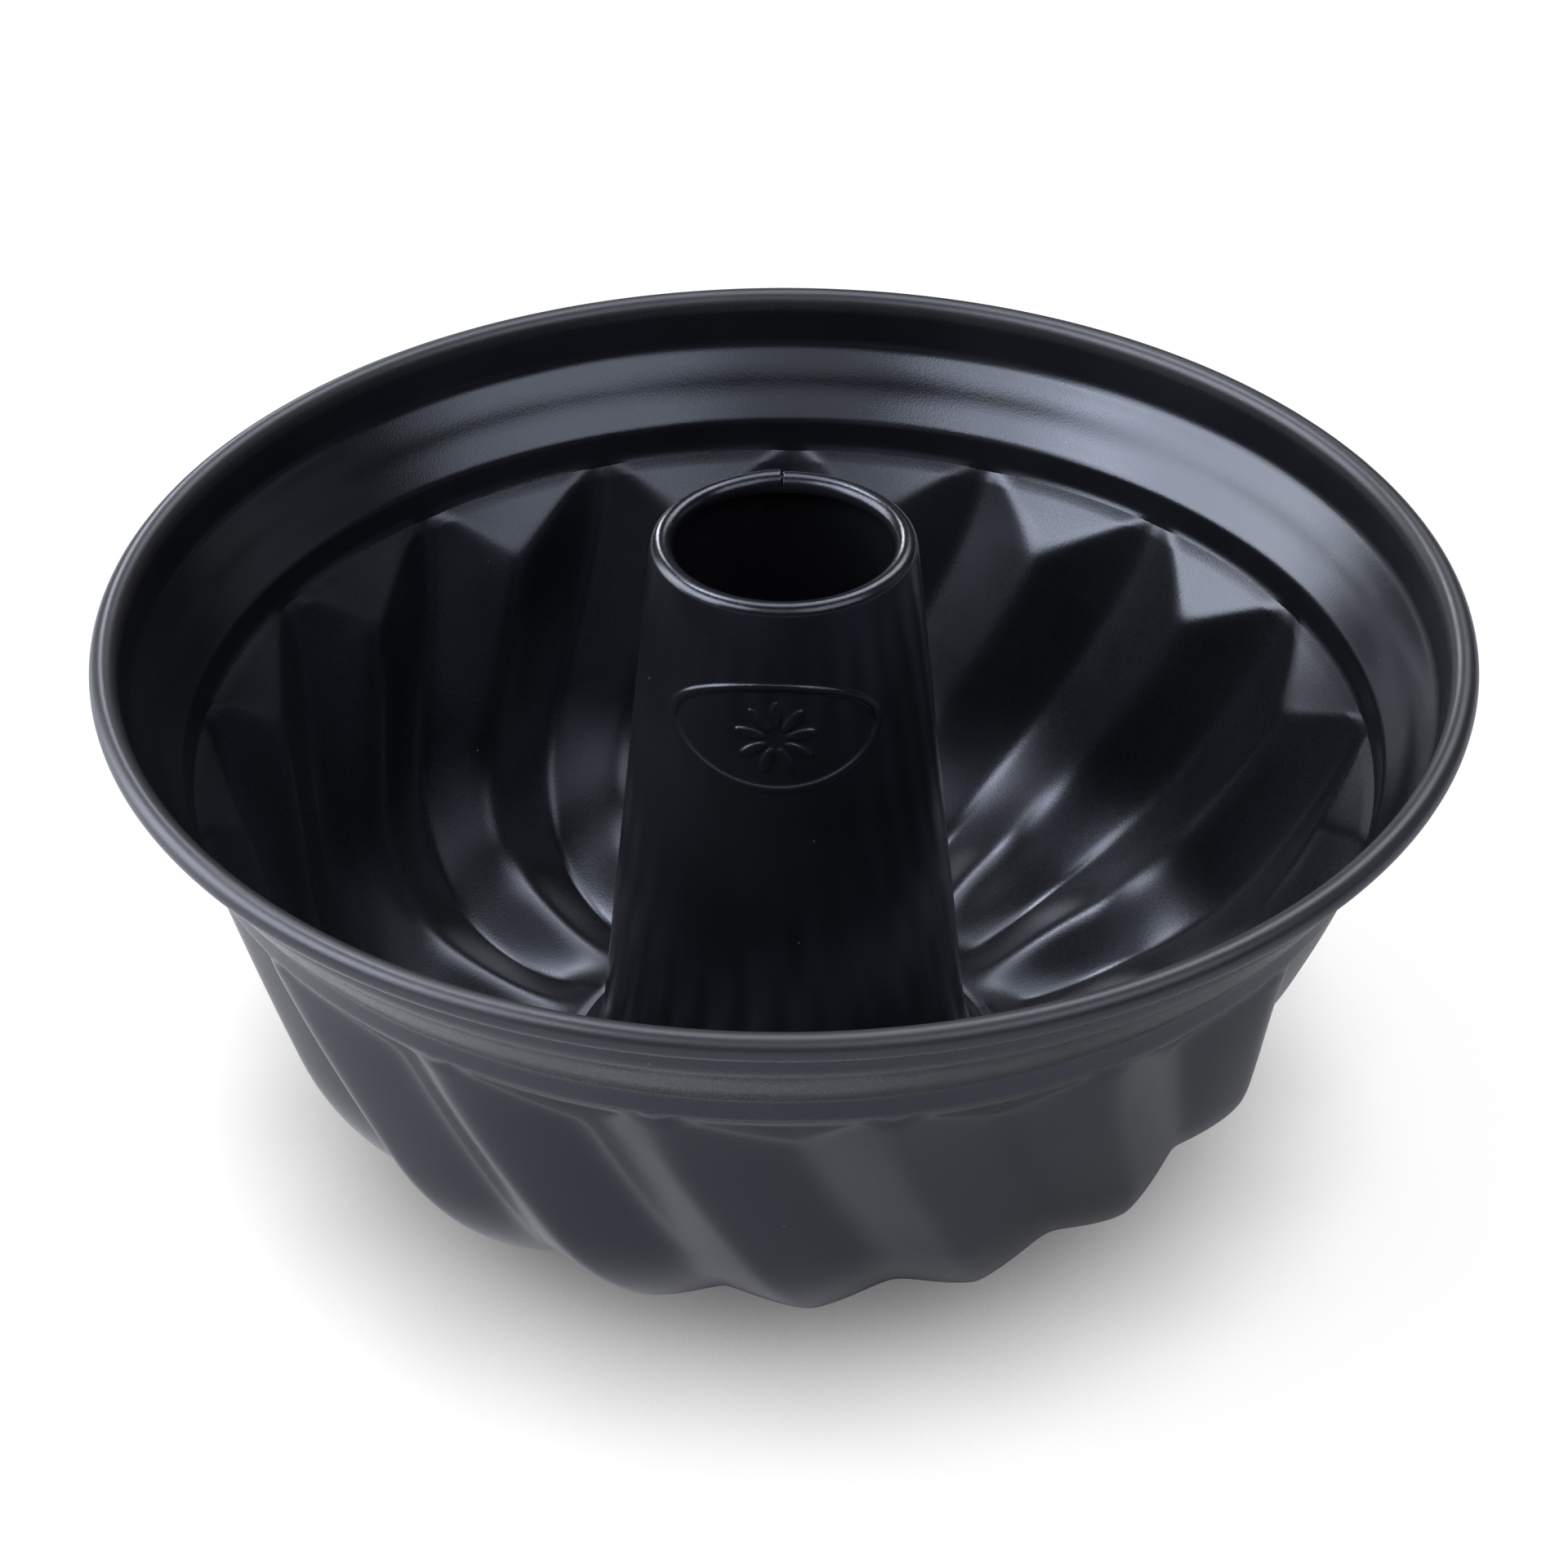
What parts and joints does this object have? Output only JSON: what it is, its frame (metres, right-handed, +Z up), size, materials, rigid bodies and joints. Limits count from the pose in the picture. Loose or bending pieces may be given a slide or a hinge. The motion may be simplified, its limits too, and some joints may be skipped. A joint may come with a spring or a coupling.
{
  "type": "fluted tube cake pan",
  "caption": "Round fluted cake pan with a tapered hollow centre tube, twisted flutes pressed into a deep wall, a plain stepped band above them and a rolled rim.",
  "frame": {"origin": "on the pan's axis, at the level its flute bottoms rest on", "axes": "+Z up along the axis, out of the open mouth; -Y towards the raised oval on the tube, +Y towards the tube's lapped seam"},
  "size_m": [0.22, 0.22, 0.1066],
  "materials": {
    "shell_coating": "satin non-stick coating on drawn steel sheet",
    "tube_coating": "satin non-stick coating on rolled steel sheet"
  },
  "bodies": {
    "root": {"fluted_shell": "shell_coating", "centre_tube": "tube_coating"}
  },
  "joints": []
}
